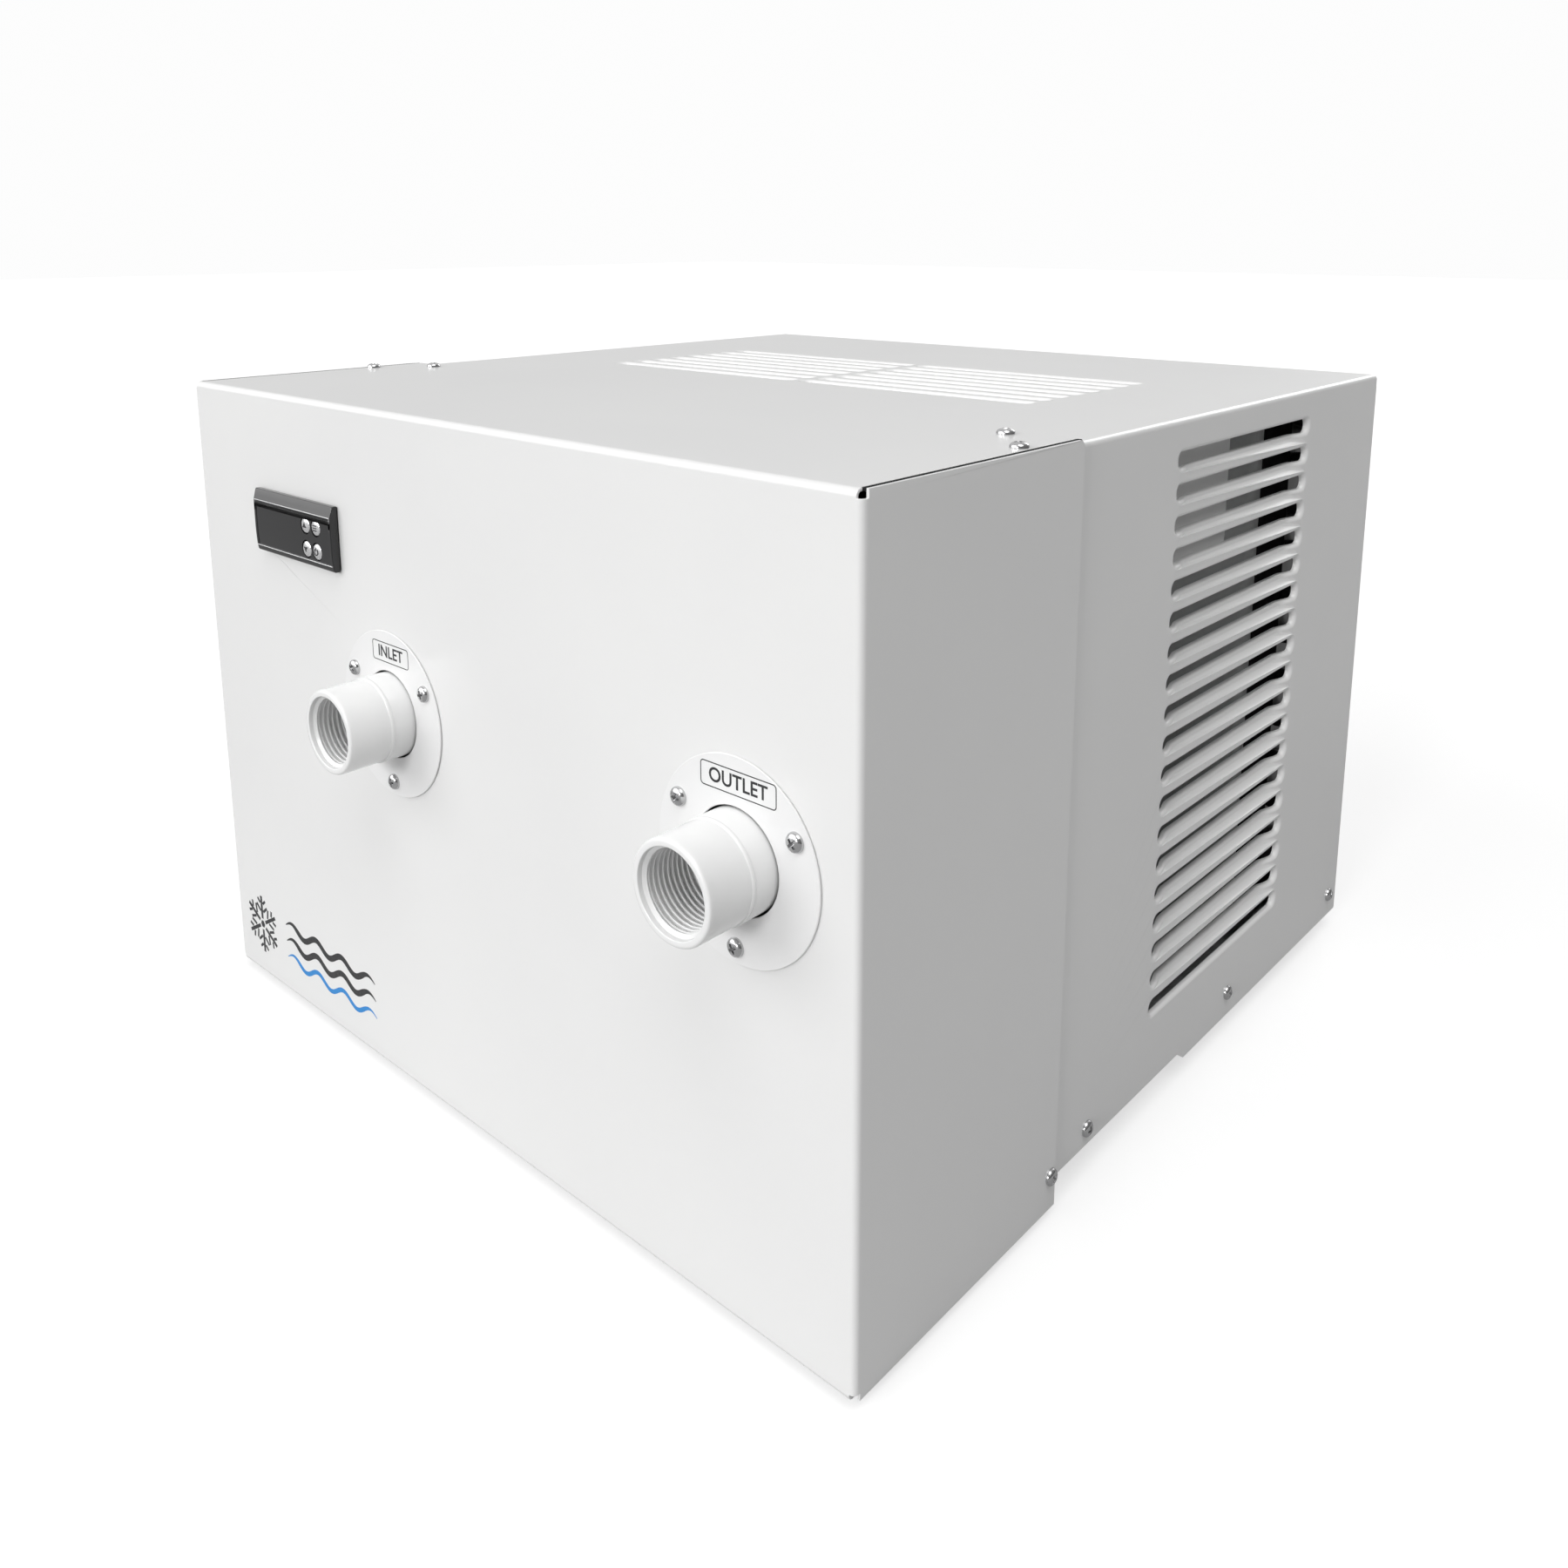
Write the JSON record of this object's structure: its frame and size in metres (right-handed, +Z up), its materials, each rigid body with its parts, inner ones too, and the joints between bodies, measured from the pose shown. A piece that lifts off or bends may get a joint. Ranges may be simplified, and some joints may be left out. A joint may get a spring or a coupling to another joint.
{
  "type": "heat pump unit",
  "caption": "Compact cabinet water chiller heat pump: sheet-metal case with louvred sides and top, threaded front water ports, a small key panel, and its refrigeration circuit and fan inside.",
  "frame": {"origin": "under the middle of the whole unit, on the floor", "axes": "+X to the right seen from the front, -Y out of the front face with the water ports, +Z up"},
  "size_m": [0.4618, 0.499, 0.3424],
  "materials": {
    "painted_sheet": "semi-gloss powder coat",
    "port_plate": "satin",
    "white_pvc": "glossy moulded",
    "galvanized": "galvanized",
    "shroud_paint": "satin",
    "bright_zinc": "bright zinc plate",
    "button_metal": "satin metallic",
    "rubber": "matte",
    "titanium": "drawn",
    "brass": "machined",
    "gloss_black": "high gloss",
    "black_plastic": "moulded",
    "circuit_board": "solder mask",
    "black_enamel": "baked enamel",
    "steel": "ground",
    "windings": "varnished copper wire and laminations",
    "copper": "drawn copper",
    "aluminium": "mill finish"
  },
  "bodies": {
    "unit": {"front_cover": "painted_sheet", "rear_cabinet": "painted_sheet", "base_pan": "galvanized", "partition": "galvanized", "partition_grommets": "rubber", "cover_gasket": "rubber", "rubber_feet": "rubber", "foot_screws": "galvanized", "panel_screws": "bright_zinc", "inlet_plate": "port_plate", "outlet_plate": "port_plate", "port_plate_screws": "bright_zinc", "inlet_fitting": "white_pvc", "outlet_fitting": "white_pvc", "inlet_pipe": "white_pvc", "outlet_pipe": "white_pvc", "exchanger_shell": "white_pvc", "exchanger_caps": "white_pvc", "titanium_coil": "titanium", "coil_glands": "brass", "exchanger_stands": "galvanized", "exchanger_straps": "galvanized", "sensor_well": "brass", "sensor_lead": "rubber", "controller_bezel": "gloss_black", "controller_gasket": "rubber", "controller_case": "black_plastic", "display_board": "circuit_board", "display_window": "gloss_black", "controller_clips": "black_plastic", "control_harness": "rubber", "compressor_shell": "black_enamel", "compressor_stator": "windings", "compressor_pump": "steel", "terminal_cover": "rubber", "accumulator": "black_enamel", "compressor_grommets": "rubber", "compressor_studs": "galvanized", "discharge_line": "copper", "suction_line": "copper", "filter_drier": "copper", "capillary_tube": "copper", "condenser_fins": "aluminium", "condenser_tubes": "black_enamel", "condenser_end_plates": "black_enamel", "fan_shroud": "shroud_paint", "fan_motor": "black_enamel", "motor_bearings": "brass", "motor_bracket": "galvanized", "electrical_box": "painted_sheet", "run_capacitor": "aluminium", "power_grommet": "rubber"},
    "fan": {"fan_shaft": "steel", "fan_blade": "black_plastic", "fan_hub_nut": "galvanized"},
    "compressor_crank": {"compressor_rotor": "steel"},
    "up_key": {"button_up": "button_metal"},
    "down_key": {"button_down": "button_metal"},
    "set_key": {"button_set": "button_metal"},
    "power_key": {"button_power": "button_metal"}
  },
  "joints": [
    {"name": "fan_spin", "type": "hinge", "parent": "unit", "child": "fan", "pos_m": [0, 0.1675, 0.176], "axis": [0, 1, 0], "continuous": true},
    {"name": "compressor_spin", "type": "hinge", "parent": "unit", "child": "compressor_crank", "pos_m": [-0.13, 0.0485, 0.12], "axis": [0, 0, 1], "continuous": true},
    {"name": "up_press", "type": "slide", "parent": "unit", "child": "up_key", "axis": [0, 1, 0], "range_m": [0, 0.0006], "stiffness_N_per_m": 800},
    {"name": "down_press", "type": "slide", "parent": "unit", "child": "down_key", "axis": [0, 1, 0], "range_m": [0, 0.0006], "stiffness_N_per_m": 800},
    {"name": "set_press", "type": "slide", "parent": "unit", "child": "set_key", "axis": [0, 1, 0], "range_m": [0, 0.0006], "stiffness_N_per_m": 800},
    {"name": "power_press", "type": "slide", "parent": "unit", "child": "power_key", "axis": [0, 1, 0], "range_m": [0, 0.0006], "stiffness_N_per_m": 800}
  ]
}
